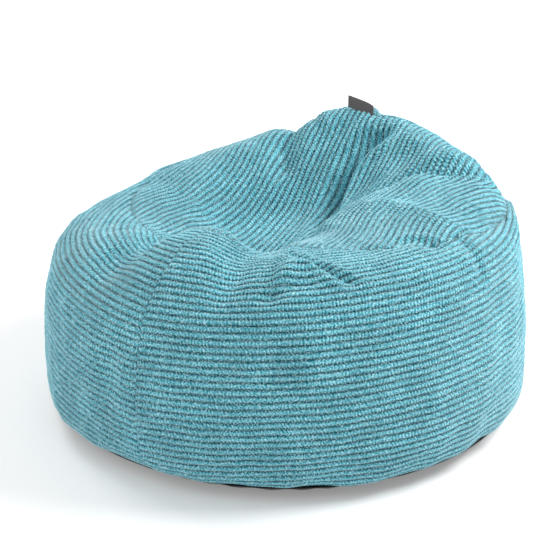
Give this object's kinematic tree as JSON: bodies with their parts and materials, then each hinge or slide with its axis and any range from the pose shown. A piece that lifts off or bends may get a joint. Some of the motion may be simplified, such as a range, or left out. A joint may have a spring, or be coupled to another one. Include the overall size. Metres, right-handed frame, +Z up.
{
  "type": "bean bag chair",
  "caption": "Low round bean bag chair with a pressed-in seat, a ribbed two-part side, a ribbed top panel, a dark base with a zip and a small label at the back.",
  "frame": {"origin": "on the floor, at the middle of the bag's bounding box in plan", "axes": "+Z up, -Y the way the sitter faces, +Y the backrest, +X the viewer's right when looking at the front"},
  "size_m": [0.994, 0.984, 0.5494],
  "materials": {
    "ribbed_cover": "fuzzy chenille cord, ribs about 13 mm apart",
    "base_cloth": "coarse hard-wearing plain weave",
    "zip_tape": "woven herringbone tape",
    "zip_coil": "satin nylon",
    "zip_metal": "satin black enamel",
    "label_cloth": "damask woven ribbon",
    "care_cloth": "satin ribbon",
    "lining_cloth": "thin plain weave polyester",
    "foam_crumb": "shredded polyurethane foam"
  },
  "bodies": {
    "bag": {"cover_top": "ribbed_cover", "cover_side_left": "ribbed_cover", "cover_side_right": "ribbed_cover", "cover_base_front": "base_cloth", "cover_base_rear": "base_cloth", "cover_zip_tape_front": "zip_tape", "cover_zip_tape_rear": "zip_tape", "cover_zip_coil_front": "zip_coil", "cover_zip_coil_rear": "zip_coil", "cover_zip_top_stop_front": "zip_metal", "cover_zip_top_stop_rear": "zip_metal", "cover_zip_bottom_stop": "zip_metal", "woven_label": "label_cloth", "care_label": "care_cloth", "lining_top": "lining_cloth", "lining_side_left": "lining_cloth", "lining_side_right": "lining_cloth", "lining_base_front": "lining_cloth", "lining_base_rear": "lining_cloth", "lining_zip_tape_front": "zip_tape", "lining_zip_tape_rear": "zip_tape", "lining_zip_coil_front": "zip_coil", "lining_zip_coil_rear": "zip_coil", "lining_zip_top_stop_front": "zip_metal", "lining_zip_top_stop_rear": "zip_metal", "lining_zip_bottom_stop": "zip_metal", "foam_fill": "foam_crumb"},
    "cover_slider": {"cover_zip_slider": "zip_metal"},
    "lining_slider": {"lining_zip_slider": "zip_metal"}
  },
  "joints": [
    {"name": "cover_zip", "type": "slide", "parent": "bag", "child": "cover_slider", "axis": [-1, 0, 0], "range_m": [0, 0.6]},
    {"name": "lining_zip", "type": "slide", "parent": "bag", "child": "lining_slider", "axis": [-1, 0, 0], "range_m": [0, 0.312]}
  ]
}
